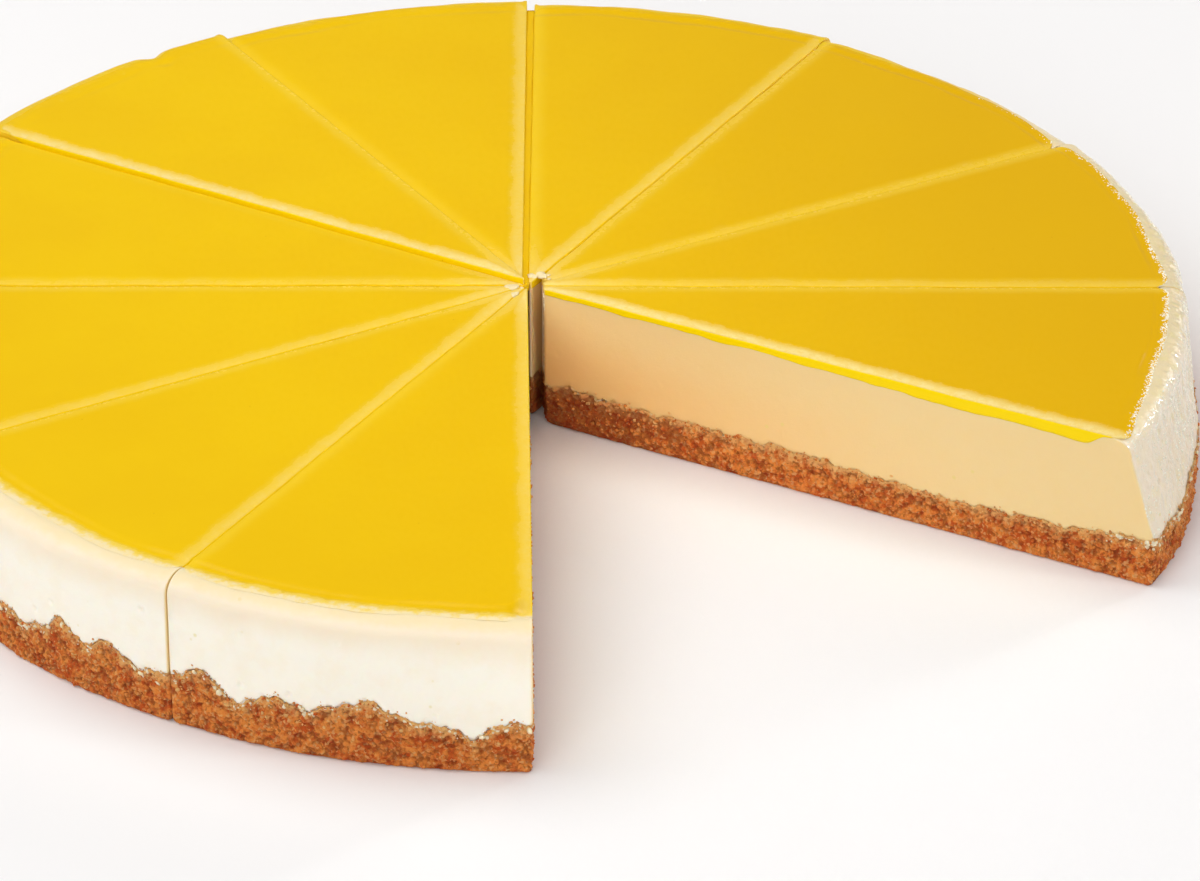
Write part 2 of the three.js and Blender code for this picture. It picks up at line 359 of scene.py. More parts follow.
def makeShell(name, rows, values, material):
    # Skins rows of equal length, splits each patch along its shorter diagonal and closes both
    # ends with a fan round the row's middle.
    index = np.arange(rows.shape[0] * rows.shape[1]).reshape(rows.shape[:2])
    points = rows.reshape(-1, 3)
    here, above = index[:-1], index[1:]
    beside, across = np.roll(here, -1, axis=1), np.roll(above, -1, axis=1)
    rising = (np.linalg.norm(points[here] - points[across], axis=-1)
              < np.linalg.norm(points[beside] - points[above], axis=-1))[..., None]
    lower = np.where(rising, np.stack([here, beside, across], -1), np.stack([here, beside, above], -1))
    upper = np.where(rising, np.stack([here, across, above], -1), np.stack([beside, across, above], -1))
    low, high = len(points), len(points) + 1
    first, last = index[0], index[-1]
    under = np.stack([np.full_like(first, low), np.roll(first, -1), first], -1)
    over = np.stack([np.full_like(last, high), last, np.roll(last, -1)], -1)
    faces = np.concatenate([lower.reshape(-1, 3), upper.reshape(-1, 3), under, over])
    points = np.concatenate([points, rows[:1].mean(axis=1), rows[-1:].mean(axis=1)])
    ends = {key: np.concatenate([grid.ravel(), [grid[0].mean(), grid[-1].mean()]])
            for key, grid in values.items()}
    return makeMesh(name, points, faces, ends, material)


class Wire:
    # A socket that takes part in sums: each operator adds a Math node.
    def __init__(self, tree, socket):
        self.tree, self.socket = tree, socket

    def sum(self, operation, other):
        # This wire and another one or a number through a Math node.
        return addNode(self.tree, "ShaderNodeMath", 0, {"operation": operation}, {0: self, 1: other})

    def __add__(self, other):
        return self.sum("ADD", other)

    def __mul__(self, other):
        return self.sum("MULTIPLY", other)

    def __sub__(self, other):
        return self.sum("SUBTRACT", other)

    def __rsub__(self, other):
        return (self * -1) + other

    __radd__ = __add__
    __rmul__ = __mul__

    def held(self):
        # Kept from 0 to 1.
        return addNode(self.tree, "ShaderNodeClamp", 0, {}, {0: self})


def plug(tree, slot, value):
    # Links a wire, or sets a number, colour or vector.
    if isinstance(value, Wire):
        tree.links.new(value.socket, slot)
    else:
        slot.default_value = value


def addNode(tree, kind, output, settings, sockets):
    # A node of any kind: its settings first, then its sockets, each by its name or number.
    made = tree.nodes.new(kind)
    for key, value in settings.items():
        setattr(made, key, value)
    for key, value in sockets.items():
        plug(tree, made.inputs[key], value)
    return Wire(tree, made.outputs[output])


def sRGB(red, green, blue):
    # A screen colour from 0 to 255 as the linear light that shaders take.
    share = np.array([red, green, blue]) / 255
    return (*np.where(share <= 0.04045, share / 12.92, ((share + 0.055) / 1.055) ** 2.4), 1)


class Finish:
    # A material being wired up round one Principled shader.
    def __init__(self, name, **fixed):
        self.material = bpy.data.materials.new(name)
        self.material.use_nodes = True
        self.tree = self.material.node_tree
        self.shader = self.tree.nodes["Principled BSDF"]
        self.set(**fixed)

    def set(self, **values):
        # Sets or links the shader's sockets; an underscore stands for a space.
        for key, value in values.items():
            plug(self.tree, self.shader.inputs[key.replace("_", " ")], value)

    def node(self, kind, output, settings=None, **values):
        # A node in this material, its sockets named as in set.
        sockets = {key.replace("_", " "): value for key, value in values.items()}
        return addNode(self.tree, kind, output, settings or {}, sockets)

    def place(self):
        # Where a point lies, in metres.
        return self.node("ShaderNodeTexCoord", "Object")

    def value(self, name):
        # The number that the mesh holds at each point under a name.
        return self.node("ShaderNodeAttribute", "Fac", {"attribute_name": name})

    def noise(self, size, detail=2.0, roughness=0.5):
        # Noise with features of the given size in millimetres.
        return self.node("ShaderNodeTexNoise", "Fac", Vector=self.place(),
                         Scale=1 / (size * mm), Detail=detail, Roughness=roughness)

    def cells(self, size, output="Distance"):
        # Distance to the middle of the nearest cell, or its colour; the size is in millimetres.
        return self.node("ShaderNodeTexVoronoi", output, Vector=self.place(), Scale=1 / (size * mm))

    def ramp(self, value, low, high):
        # From 0 to 1 as the value goes from low to high.
        return self.node("ShaderNodeMapRange", "Result", {"interpolation_type": "SMOOTHSTEP"},
                         Value=value, From_Min=low, From_Max=high)

    def mix(self, share, first, second):
        # The first colour where the share is 0 and the second where it is 1.
        return addNode(self.tree, "ShaderNodeMix", 2, {"data_type": "RGBA"},
                       {0: share, 6: first, 7: second})

    def bump(self, height, distance):
        # Distance is the height in millimetres of a step from 0 to 1.
        return self.node("ShaderNodeBump", "Normal", Height=height, Distance=distance * mm,
                         Strength=1)


lemonLook = {
    "deep": sRGB(234, 188, 0), "ripe": sRGB(219, 166, 0), "bright": sRGB(245, 208, 4),
    "pale": sRGB(244, 214, 92), "smeared": sRGB(240, 214, 136), "edge": sRGB(241, 221, 174),
    "side": sRGB(248, 216, 6), "bubble": sRGB(206, 152, 0), "roughness": 0.22, "wrinkle": 0.12,
}


def lemonFinish():
    # Deep where it is thick, paler by its thickness at the rim and by smears along the cuts,
    # darker towards +X as painted shade, and lighter on the cut faces as painted light.
    finish = Finish("lemonCurd", IOR=1.35, Specular_IOR_Level=0.2)
    thick, cut, smear = finish.value("thick"), finish.value("cutIn"), finish.value("smear")
    cloud = finish.ramp(finish.noise(34, 3), 0.3, 0.7)
    colour = finish.mix(cloud * 0.2, lemonLook["deep"], lemonLook["bright"])
    # painted shade: the top darker towards +X, where less light falls on it
    across = finish.node("ShaderNodeSeparateXYZ", "X", Vector=finish.place())
    colour = finish.mix(finish.ramp(across, -0.08, 0.13) * 0.75, colour, lemonLook["ripe"])
    nearCut = 1 - finish.ramp(cut, 0.0, 4.2)
    colour = finish.mix(nearCut * 0.45, colour, lemonLook["bright"])
    # painted light: the topping's cut faces, and its smeared edges, painted a lighter yellow
    colour = finish.mix(finish.value("face") * 0.85, colour, lemonLook["side"])
    torn = finish.noise(1.3, 4, 0.7)
    streaks = (finish.noise(5, 5, 0.65) - 0.5) * 3 + (torn - 0.5) * 2.5
    dragged = finish.ramp(cut + streaks, 3.8, 0.9) * finish.ramp(cut, 0.02, 0.25)
    dragged = (dragged * smear * (finish.ramp(torn, 0.4, 0.6) * 0.45 + 0.7)).held()
    colour = finish.mix(dragged, colour, lemonLook["smeared"])
    thin = 1 - finish.ramp(thick + (finish.noise(2.4, 4) - 0.5) * 0.8, 0.12, 0.75)
    colour = finish.mix(thin * 0.75, colour, lemonLook["pale"])
    bare = 1 - finish.ramp(thick + (finish.noise(1.8, 4, 0.6) - 0.5) * 0.5, 0.05, 0.28)
    colour = finish.mix(bare.held(), colour, lemonLook["edge"])
    bubble = finish.ramp(finish.cells(11), 0.022, 0.012)
    colour = finish.mix(bubble * 0.5, colour, lemonLook["bubble"])
    finish.set(Base_Color=colour)
    finish.set(Roughness=lemonLook["roughness"] + dragged * 0.5 + thin * 0.1)
    wrinkle = finish.noise(14, 2) * 0.5 + finish.noise(1.1, 3) * (thin * 0.4 + dragged * 1.3)
    finish.set(Normal=finish.bump(wrinkle, lemonLook["wrinkle"]))
    return finish.material


creamLook = {
    "cream": sRGB(253, 245, 230), "warm": sRGB(250, 234, 206), "cut": sRGB(232, 198, 119),
    "baked": sRGB(236, 174, 92), "peach": sRGB(244, 227, 199), "edge": sRGB(241, 219, 168),
    "lemon": sRGB(236, 218, 130), "damp": sRGB(233, 207, 168), "runOver": sRGB(238, 196, 22),
    "stain": sRGB(232, 188, 122), "speck": sRGB(226, 208, 120), "roughness": 0.45,
    "glow": 0.35,  # share of light that goes under the skin
    "glowDepth": 1.3,
    "grain": 0.2,
}


def creamFinish():
    # Cream with a peach skin on its rounded shoulder; warmer and darker on the cut faces, partly its
    # own tone and partly painted warm reflected light and shade, deepest at the tips; wet on one
    # side, where upright streaks and grains glint, and under curd on the shoulder's far side.
    finish = Finish("bakedCream", IOR=1.42)
    finish.set(Subsurface_Weight=creamLook["glow"], Subsurface_Radius=(1.0, 0.7, 0.42))
    finish.set(Subsurface_Scale=creamLook["glowDepth"] * mm, Coat_Roughness=0.06, Coat_IOR=1.4)
    above, rounding = finish.value("aboveCrumb"), finish.value("rounding")
    onCut, wet, deepIn = finish.value("onCut"), finish.value("wet"), finish.value("deepIn")
    farSide = finish.value("farSide")
    mottle = finish.ramp(finish.noise(6, 4, 0.6), 0.42, 0.7)
    colour = finish.mix(mottle * 0.3, creamLook["cream"], creamLook["warm"])
    colour = finish.mix(wet * 0.8, colour, creamLook["damp"])
    # partly painted: the cut faces warmer and darker, partly the cream's own tone and partly painted
    # warm reflected light and shade
    colour = finish.mix(onCut * 0.8, colour, creamLook["cut"])
    # painted shade and painted warm reflected light, deepest at the tips
    colour = finish.mix(deepIn * 0.5, colour, creamLook["baked"])
    skin = finish.ramp(rounding + (finish.noise(9, 3) - 0.5) * 1.2, -1.6, 0.6) * (1 - onCut)
    colour = finish.mix(skin * 0.85, colour, creamLook["peach"])
    high = finish.ramp(rounding + (finish.noise(2.4, 4) - 0.5) * 0.3, 0.55, 1.0) * (1 - onCut)
    colour = finish.mix(high * 0.8, colour, creamLook["edge"])
    ranOver = finish.ramp(rounding + (finish.noise(4, 3) - 0.5) * 0.4, -0.1, 0.4) * farSide
    colour = finish.mix(ranOver, colour, creamLook["runOver"])
    stained = finish.ramp(finish.noise(1.3, 3) - above * 0.2, 0.36, 0.6)
    colour = finish.mix(stained * 0.45, colour, creamLook["stain"])
    green = finish.ramp(finish.noise(3.5, 3), 0.5, 0.7) * wet
    colour = finish.mix(green * 0.35, colour, creamLook["lemon"])
    speck = finish.ramp(finish.cells(5), 0.12, 0.05) * finish.ramp(finish.noise(8), 0.5, 0.56)
    colour = finish.mix(speck * 0.5, colour, creamLook["speck"])
    finish.set(Base_Color=colour)
    patch = finish.ramp(finish.noise(4, 3), 0.4, 0.6)
    finish.set(Roughness=creamLook["roughness"] - wet * 0.15)
    finish.set(Coat_Weight=(wet * (patch * 0.6 + 0.5)).held())
    upright = finish.node("ShaderNodeMapping", "Vector", Vector=finish.place(), Scale=(1, 1, 0.25))
    streaks = finish.node("ShaderNodeTexNoise", "Fac", Vector=upright, Scale=1100, Detail=3)
    grain = finish.noise(0.7, 4, 0.7) * (wet * 1.2 + 0.3) + finish.noise(3.2, 3) * (wet + 0.7)
    finish.set(Normal=finish.bump(grain + streaks * wet, creamLook["grain"]))
    return finish.material


crumbLook = {
    "golden": sRGB(246, 152, 66), "brown": sRGB(206, 86, 20), "dark": sRGB(128, 44, 4),
    "light": sRGB(250, 198, 124), "roughness": 0.7, "glow": 0.15, "glowDepth": 1.0, "grain": 0.45,
}


def crumbFinish():
    # Two sizes of cells give each granule a tone of its own; paler just under the cream. Painted
    # shade makes it darker in the hollows and near the middle.
    finish = Finish("biscuitCrumb", Roughness=crumbLook["roughness"], Specular_IOR_Level=0.3)
    finish.set(Subsurface_Weight=crumbLook["glow"], Subsurface_Radius=(1.0, 0.5, 0.25))
    finish.set(Subsurface_Scale=crumbLook["glowDepth"] * mm)
    depth, tone, under = finish.value("relief"), finish.value("tone"), finish.value("under")

    def granule(size):
        # A number of its own for each cell.
        return finish.node("ShaderNodeSeparateColor", "Red", Color=finish.cells(size, "Color"))

    fine, coarse = granule(0.55), granule(1.3)
    patches = finish.ramp(finish.noise(3.2, 4, 0.65), 0.4, 0.62)
    blend = fine * 0.3 + coarse * 0.25 + tone * 0.15 + patches * 0.3
    colour = finish.mix(finish.ramp(blend, 0.25, 0.75), crumbLook["golden"], crumbLook["brown"])
    soaked = finish.ramp(under + (finish.noise(1.6, 4) - 0.5) * 6, 3.6, -0.8)
    colour = finish.mix(soaked * 0.85, colour, crumbLook["light"])
    colour = finish.mix(finish.ramp(fine, 0.8, 0.93) * 0.55, colour, crumbLook["light"])
    colour = finish.mix(finish.ramp(fine, 0.18, 0.04) * 0.45, colour, crumbLook["dark"])
    # painted shade: darker in the hollows and near the middle, from the relief number
    colour = finish.mix(finish.ramp(depth, 0.0, -0.5) * 0.6, colour, crumbLook["dark"])
    finish.set(Base_Color=colour)
    rough = finish.noise(0.4, 4, 0.7) * 1.2 + finish.cells(0.8) * 0.8
    finish.set(Normal=finish.bump(rough, crumbLook["grain"]))
    return finish.material


lemonMaterial, creamMaterial, crumbMaterial = lemonFinish(), creamFinish(), crumbFinish()
# beads of curd and drops on the wet wall: glossy, and near white, which is partly painted glints
glintBeadLook = {"tint": sRGB(254, 248, 228), "roughness": 0.05}
beadFinish = Finish("curdBead", Base_Color=glintBeadLook["tint"], Roughness=glintBeadLook["roughness"], IOR=1.45)
beadMaterial = beadFinish.material
print("finishes made")

# how many steps each stretch of a slice's outline has
layerCounts = {"tip": 5, "side": 44, "bare": 400, "corner": 6, "rim": 250}
toppingCounts = {"tip": 5, "side": 60, "bare": 200, "corner": 12, "rim": 190}


def rings(inset, drawn, share, shrink=1):
    # A layer's rings, one row for each: how far in from the cuts, how far in from the rim, share
    # of the layer's height and share of the slice's size. Each is a number or a list.
    return np.stack(np.broadcast_arrays(inset, drawn, share, shrink), axis=-1)


def columns(*parts):
    # The four columns of all the rings, from the underside to the top.
    return np.concatenate(parts).T[:, :, None]


def onRows(rows, shown, values, elsewhere=0.0):
    # A number for each point of the grid: the values in the shown rows, one number in the others.
    grid = np.full(rows.shape[:2], elsewhere)
    grid[shown] = values
    return grid


crumb = {
    "rows": 36,
    "corner": 0.8,
    "granules": ((2.3, 0.7, 31), (1.15, 0.7, 41), (0.65, 0.4, 51)),  # size, height, seed
    "level": 0.15,  # relief that lies on the wall's nominal radius
    "deepest": 1.2,
    "highest": 0.35,
    "hiddenShare": 0.15,  # how much of the relief is left between two slices
    "upperFrom": 6.5,  # height from which the pale crumbs lie
    # the rings below the wall and past its top, with the four columns that rings names
    "under": [(4, 6, 0, 0.1), (4, 6, 0, 0.45), (4, 6, 0, 0.8), (3, 4, 0, 1), (0.9, 1, 0, 1),
              (0.35, 0.45, 0.015, 1), (0.1, 0.15, 0.05, 1)],
    "over": [(0.4, 0.5, 1, 1), (1.4, 1.6, 1, 1), (4, 6, 1, 1), (4, 6, 1, 0.75), (4, 6, 1, 0.4),
             (4, 6, 1, 0.1)],
}


def crumbRelief(points):
    # Granules of three sizes: each cell stands out most at its middle and some stand higher.
    relief = np.zeros(points.shape[:-1])
    for size, height, seed in crumb["granules"]:
        distance, own = grainNoise(points, size, seed)
        relief += height * ((0.5 - distance) + 0.45 * (own - 0.6))
    return relief


def crumbRows(cut):
    # Underside rings, foot, wall and top rings of the crumb, with granules pushed out of its skin.
    wall = rings(0, 0, np.linspace(0.1, 1, crumb["rows"]))
    inset, drawn, share, shrink = columns(crumb["under"], wall, crumb["over"])
    x, y = outline(cut, inset, lambda turn: wallRadiusAt(cut, turn, 1) - drawn,
                   crumb["corner"], layerCounts)
    x, y = shrunk(cut, x, y, shrink)
    rows = np.stack([x, y, crumbTop(x, y) * share], -1)
    wallFrom = len(crumb["under"])
    shown = slice(wallFrom - 2, wallFrom + crumb["rows"] + 1)
    skin = rows[shown]
    relief = crumbRelief(skin)
    distance, _, bare = cutDistance(cut, skin[..., 0], skin[..., 1])
    hidden = (1 - smoothRise(distance, 0.2, 1.2)) * ~bare
    lift = np.clip(relief - crumb["level"], -crumb["deepest"], crumb["highest"])
    lift *= 1 - (1 - crumb["hiddenShare"]) * hidden
    nearTop = smoothRise(crumbTop(skin[..., 0], skin[..., 1]) - skin[..., 2], 1.3, 0.3)
    lift = np.maximum(lift, 1.15 * nearTop - crumb["deepest"]) * smoothRise(skin[..., 2], 0.0, 0.6)
    normals = rowNormals(rows)[shown]
    rows[shown] += normals * lift[..., None]
    rows[..., 2] = np.maximum(rows[..., 2], 0)
    tone = 0.5 + 0.5 * softNoise(rows, 2.0, 61)
    under = crumbTop(x, y) - rows[..., 2]
    nearMiddle = bell(np.hypot(x, y), 32)
    # painted shade for the finish: low in the hollows and near the middle, high just under the top
    depth = onRows(rows, shown, relief) + 0.5 * smoothRise(under, 1.8, 0) - 0.7 * nearMiddle
    seen = onRows(rows, shown, (hidden < 0.2) * smoothRise(rows[shown][..., 2], 0.2, 1))
    seen *= 1 - 0.85 * nearMiddle
    atTop = seen * smoothRise(under, 2.6, 0.2) * (share < 1) * (np.hypot(x, y) > 136)
    return rows, {"relief": depth, "tone": tone, "under": under}, {"crumb": seen, "crumbTop": atTop}


filling = {
    "rows": 46,
    "shoulderRows": 12,
    "corner": 0.5,
    "sunk": 0.3,  # how far the cream's foot reaches down into the crumb
    "setIn": 0.35,  # how far its foot lies behind the crumb's skin
    "waves": ((13, 0.25, 71), (4.5, 0.12, 72)),  # size, height, seed
    "curds": (2.2, 73),  # size, seed
    "pits": (5.5, 76),
    "under": [(4, 8, 0, 0.1), (4, 8, 0, 0.5), (4, 8, 0, 1), (1.4, 1.6, 0, 1), (0.4, 0.5, 0, 1)],
    "over": [(0.5, 5, 1, 1), (2, 7, 1, 1), (4, 11, 1, 1), (4, 11, 1, 0.75), (4, 11, 1, 0.4),
             (4, 11, 1, 0.1)],
}


def creamRelief(skin, above, nearCut, bare, wet):
    # How far the cream's skin stands out, apart from the cuts: slow waves, a curdled foot, pits
    # and ripples where it is wet.
    uneven = noises(skin, filling["waves"]) - 0.12
    curd, _ = grainNoise(skin, *filling["curds"])
    uneven += 0.4 * (0.45 - curd) * np.exp(-above / 2.2)
    pit, own = grainNoise(skin, *filling["pits"])
    uneven -= 0.6 * (own > 0.6) * bell(pit * filling["pits"][0], 0.55)
    ripples = 0.2 * softNoise(skin * (1, 1, 0.4), 2.1, 74) + 0.14 * softNoise(skin, 0.9, 75)
    return (uneven + wet * ripples) * (1 - nearCut * np.where(bare, 0.8, 1))


def granulesInCream(skin, above, hidden):
    # The crumb's granules where they show through the cream's foot, which is set in there.
    granules = np.clip(crumbRelief(skin) - crumb["level"], -0.1, crumb["highest"])
    granules *= np.exp(-above / 1.1) * (1 - (1 - crumb["hiddenShare"]) * hidden)
    return granules - filling["setIn"] * np.exp(-above / 0.5)


def fillingRows(cut):
    # Underside rings, a wall that starts on the crags, a shoulder and rings below the topping.
    wallShares = np.linspace(0, 1, filling["rows"])
    turnUp = np.linspace(0, np.pi / 2, filling["shoulderRows"] + 1)[1:]
    shoulderIn = shoulder["width"] * (1 - np.cos(turnUp) ** (2 / shoulder["squareness"]))
    inset, drawn, share, shrink = columns(filling["under"], rings(0, 0, wallShares),
                                          rings(0, shoulderIn, 1), filling["over"])
    leaning = 1 - (1 - sag["aloft"]) * share
    x, y = outline(cut, inset, lambda turn: wallRadiusAt(cut, turn, leaning) - drawn,
                   filling["corner"], layerCounts)
    x, y = shrunk(cut, x, y, shrink)
    turn = np.arctan2(y, x)
    low = crumbTop(x, y) - filling["sunk"]
    foot = toppingSeam(cut, x, y, 0)
    z = low + (foot - low) * share
    wallFrom = len(filling["under"])
    upper = slice(wallFrom + filling["rows"], None)
    z[upper] = toppingSeam(cut, x[upper], y[upper], drawn[upper])
    rows = np.stack([x, y, z], -1)
    shown = slice(wallFrom, wallFrom + filling["rows"] + filling["shoulderRows"])
    skin = rows[shown]
    above = skin[..., 2] - low[shown]
    distance, _, bare = cutDistance(cut, x, y)
    onCut = 1 - smoothRise(distance, 0.05, 0.6)
    nearCut = (1 - smoothRise(distance, 0.3, 1.4))[shown]
    hidden = nearCut * ~bare[shown]
    wet = wetAt(turn, "wall") * (1 - onCut)
    calm = 1 - smoothRise(drawn[shown], 2.6, 4.2)
    lift = creamRelief(skin, above, nearCut, bare[shown], wet[shown]) * calm
    lift += granulesInCream(skin, above, hidden)
    rounding = (skin[..., 2] - foot[shown]) / shoulder["drop"]
    rows[shown] += rowNormals(rows)[shown] * lift[..., None]
    patches = np.clip(softNoise(skin * (1, 1, 0.5), 4, 77) + 0.3, 0, 1)
    damp = wet[shown] ** 2 * patches * (rounding < 0.85) * smoothRise(above, 0.4, 3)
    atFoot = (hidden < 0.2) * np.exp(-above / 0.5)
    radius = np.hypot(x, y)
    # painted shade and painted warm reflected light on the cut faces: deepest at the tip, less high up
    # on a bare side
    deepIn = onCut * np.where(bare, 1 - smoothRise(radius, 10, 120), 0.7 * bell(radius, 14))
    deepIn *= 1 - 0.75 * smoothRise(z, 12, 29) * bare
    farSide = around(turn, *runOver["wall"]) * smoothRise(radius, 100, 128)
    values = {
        "aboveCrumb": onRows(rows, shown, above, 1.0), "rounding": onRows(rows, shown, rounding, 1.0),
        "onCut": onCut, "wet": wet, "deepIn": deepIn, "farSide": farSide,
    }
    chances = {"creamFoot": onRows(rows, shown, atFoot), "dampCream": onRows(rows, shown, damp)}
    return rows, values, chances


topping = {
    "corner": 3.6,
    "edgeWidth": 4.6,  # how far in from a cut the top starts to fall
    "edgeDrop": 0.3,
    "film": 0.4,  # width of the thin band outside the rounded edge
    "meniscus": 5.5,
    "sunk": 0.06,  # how far its underside lies inside the cream
    "under": [(6, 12, 0, 0.1), (6, 12, 0, 0.55), (6, 12, 0, 1), (1, 1.4, 0, 1)],
}


def toppingTop(cut, x, y, seam):
    # Height of the topping's surface: level, falling to a cut along a parabola, and at the rim
    # running down to a thin film over the cream.
    turn, radius = np.arctan2(y, x), np.hypot(x, y)
    plan = inPlan(x, y)
    calm = 0.06 * (1 + softNoise(plan, 19, 81))
    puckered = 0.16 * softNoise(plan, 1.5, 83) * bell(radius, 11)
    distance, atFirst, bare = cutDistance(cut, x, y)
    distance = np.maximum(distance, 0)
    uneven = 1 + 0.35 * softNoise(plan, 6, 84)
    fall = topping["edgeDrop"] * uneven * np.clip(1 - distance / topping["edgeWidth"], 0, 1) ** 2
    fall += 0.14 * np.clip(1 - distance / 0.35, 0, 1) ** 2
    level = cake["height"] + cut["rise"] - calm - fall + puckered - 0.06
    rimIn = np.maximum(toppingRadiusAt(cut, turn) - radius, 0)
    film = topping["film"] * (1 + 0.6 * softNoise(plan, 11, 85))
    share = smoothRise((rimIn - film) / (topping["meniscus"] * lipShare(turn)), 0, 1)
    thin = 0.08 + 0.12 * smoothRise(rimIn, 0, 2) * (1 + 0.6 * softNoise(plan, 1.8, 87))
    thin = np.minimum(thin, level - seam)
    return seam + thin + (level - seam - thin) * share, distance, atFirst, bare


def toppingRows(cut):
    # Underside rings, the upright edge at the cuts, and the rings of the top.
    inwards = np.concatenate([[0.06, 0.16, 0.32, 0.6], np.linspace(0.9, 6.8, 19)])
    upEdge, border = rings(0, 0, np.linspace(0, 1, 6)), rings(inwards * 0.68, inwards, 1)
    inner = rings(6.5, 9, 1, np.linspace(1, 0.06, 11))
    inset, drawn, share, shrink = columns(topping["under"], upEdge, border, inner)
    x, y = outline(cut, inset, lambda turn: toppingRadiusAt(cut, turn) - drawn,
                   topping["corner"], toppingCounts)
    x, y = shrunk(cut, x, y, shrink)
    low = toppingSeam(cut, x, y) - topping["sunk"]
    high, distance, atFirst, bare = toppingTop(cut, x, y, low)
    z = low + (high - low) * share
    turn, radius = np.arctan2(y, x), np.hypot(x, y)
    smear = np.where(atFirst, cut["smear"][0], cut["smear"][1])
    # painted light: share of the lighter yellow painted on the cut faces and smeared edges
    face = (1 - smoothRise(distance, 0, 0.2)) * np.maximum(bare, smear)
    smear = np.minimum(smear + 0.45 * bell(radius, 13), 1)
    rows = np.stack([x, y, z], -1)
    atEdge = bell(toppingRadiusAt(cut, turn) - radius - 0.5, 0.6)
    atRim = atEdge * wetAt(turn, "rim") * (share == 1) * (distance > 0.6)
    thick = high - low + 0.6 * around(turn, *runOver["rim"])
    values = {"thick": thick, "cutIn": distance, "smear": smear, "face": face}
    return rows, values, {"rim": atRim}


layers = [
    ("base", "crumb", crumbRows, crumbMaterial, "crumb_base"),
    ("filling", "cream", fillingRows, creamMaterial, "cheese_filling"),
    ("topping", "lemon", toppingRows, lemonMaterial, "lemon_topping"),
]


def addPiece(piece, node):
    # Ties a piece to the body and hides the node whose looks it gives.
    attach(piece, "root")
    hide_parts(node)


# skin points, their outward directions and how likely a grain or bead is there
places = {"crumb": [], "crumbTop": [], "creamFoot": [], "dampCream": [], "rim": []}

for number, cut in enumerate(slices, 1):
    for layer, name, makeRows, material, slotName in layers:
        rows, values, chances = makeRows(cut)
        piece = makeShell(f"{name}_{number:02d}", rows, values, material)
        addPiece(piece, f"slice_{number:02d}_{layer}")
        for kind, likely in chances.items():
            kept = likely > 0.02
            places[kind].append(np.column_stack([rows[kept], rowNormals(rows)[kept], likely[kept]]))
    print("slice", number, "made")


# depth is how far below the tops the curd in a cut lies, and to is where along the cut it ends
strip = {"depth": 0.25, "thickness": 1.3, "worn": 0.06, "steps": 120, "to": 135}
plainCurd = {"thick": 2, "cutIn": 9, "smear": 0, "face": 0}


def curdStrip(angle, nearest, first, last, rise):
    # Curd left in a cut: a bar along the cut with six corners to its section, rippled by noise.
    along = np.linspace(nearest, strip["to"], strip["steps"])[:, None]
    across = np.array([first, last, last, (first + 3 * last) / 4, (3 * first + last) / 4, first])
    upward = np.array([-strip["thickness"], -strip["thickness"], -strip["worn"], 0, 0, -strip["worn"]])
    turn = np.radians(angle)
    x = along * np.cos(turn) - across * np.sin(turn)
    y = along * np.sin(turn) + across * np.cos(turn)
    ripple = 0.12 * softNoise(inPlan(x, y), 3, 91)
    top = cake["height"] + rise - topping["edgeDrop"] - strip["depth"]
    rows = np.stack([x, y, top + upward + ripple], -1)
    values = {key: np.full(rows.shape[:2], value) for key, value in plainCurd.items()}
    return rows, values


# slice that it belongs to, cut angle, distance from the middle where it starts, its two edges
# across the cut, how far it is raised, which is close to the lower neighbour's rise
filledCuts = [
    (1, 90, 0.3, -0.12, 1.75, 0),
    (2, 121, 0.3, -0.12, 0.12, 0.2),
    (3, 149.6, 0.3, -0.12, 0.12, 0),
    (4, 180, 0.3, -0.12, 0.12, -0.1),
    (5, 210, 0.3, -0.12, 0.12, 0),
    (6, 240.1, 0.3, -0.12, 0.12, 0),
    (8, 359.7, 6, -0.12, 0.12, 0),
    (9, 29.2, 7, -0.12, 0.12, -0.5),
    (10, 60.6, 8, -0.12, 0.12, -0.1),
]

for number, *edges in filledCuts:
    bar = makeShell(f"curdInCut_{number:02d}", *curdStrip(*edges), lemonMaterial)
    addPiece(bar, f"slice_{number:02d}_topping")
print("curd in the cuts made")


spots = {kind: np.concatenate(parts) for kind, parts in places.items()}
spots["upperCrumb"] = spots["crumb"][spots["crumb"][:, 2] > crumb["upperFrom"]]

# smears round the slices' tips, each place an x, a y and a spread
tipSmears = {
    "places": [(2.6, 4.2, 1.2), (-3.4, -0.4, 1.0), (-2.6, -3.6, 0.6)],
    "each": 60,
    "depth": 0.3,
    "seed": 9,
}
rng = np.random.default_rng(tipSmears["seed"])
smearSpots = np.concatenate([rng.normal((x, y), (spread, spread * 0.5), (tipSmears["each"], 2))
                             for x, y, spread in tipSmears["places"]])
facingUp = np.tile([cake["height"] - tipSmears["depth"], 0, 0, 1, 1], (len(smearSpots), 1))
spots["tips"] = np.hstack([smearSpots, facingUp])

